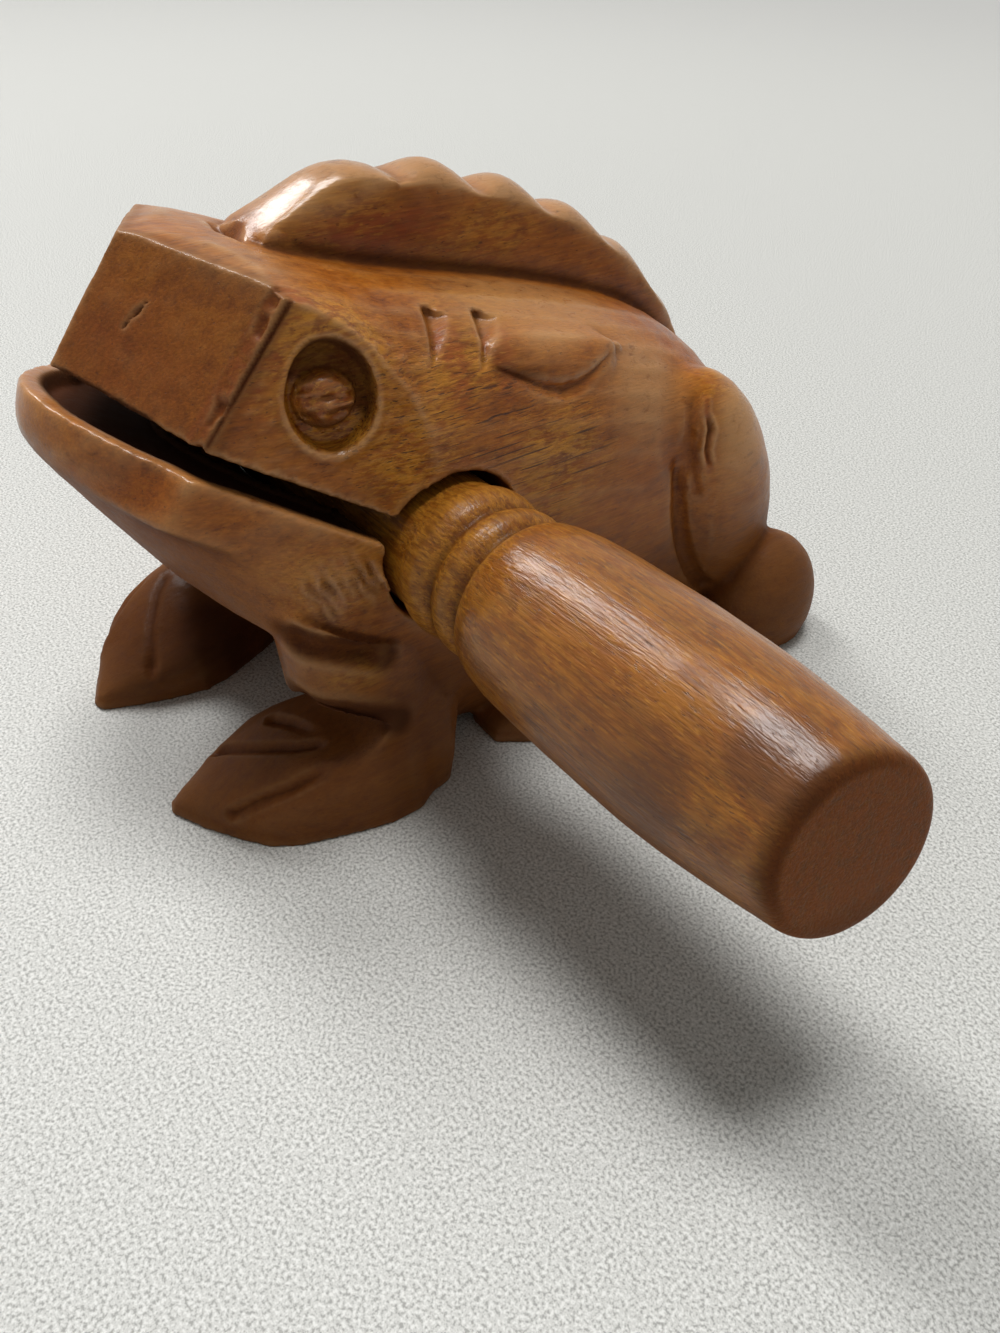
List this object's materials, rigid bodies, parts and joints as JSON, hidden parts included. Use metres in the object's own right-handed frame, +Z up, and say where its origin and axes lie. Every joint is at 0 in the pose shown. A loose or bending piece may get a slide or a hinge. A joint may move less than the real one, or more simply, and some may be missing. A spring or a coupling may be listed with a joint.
{
  "type": "frog guiro",
  "caption": "Carved wooden frog with a scalloped ridge along its back, a hollowed mouth and a cross bore that stores its turned striker, drawn out to rasp the ridge.",
  "frame": {"origin": "on the flat underside, in the plane that divides the frog's left from its right, under the middle of the back", "axes": "+Z up, -Y the way the frog faces, +X towards its left, the way the striker is drawn out"},
  "size_m": [0.1158, 0.1036, 0.0667],
  "materials": {
    "stained_wood": "satin",
    "stained_stick": "satin"
  },
  "bodies": {
    "frog": {"frog_body": "stained_wood"},
    "striker": {"striker": "stained_stick"}
  },
  "joints": [
    {"name": "striker_slide", "type": "slide", "parent": "frog", "child": "striker", "axis": [1, 0, 0], "range_m": [0, 0.06]}
  ]
}
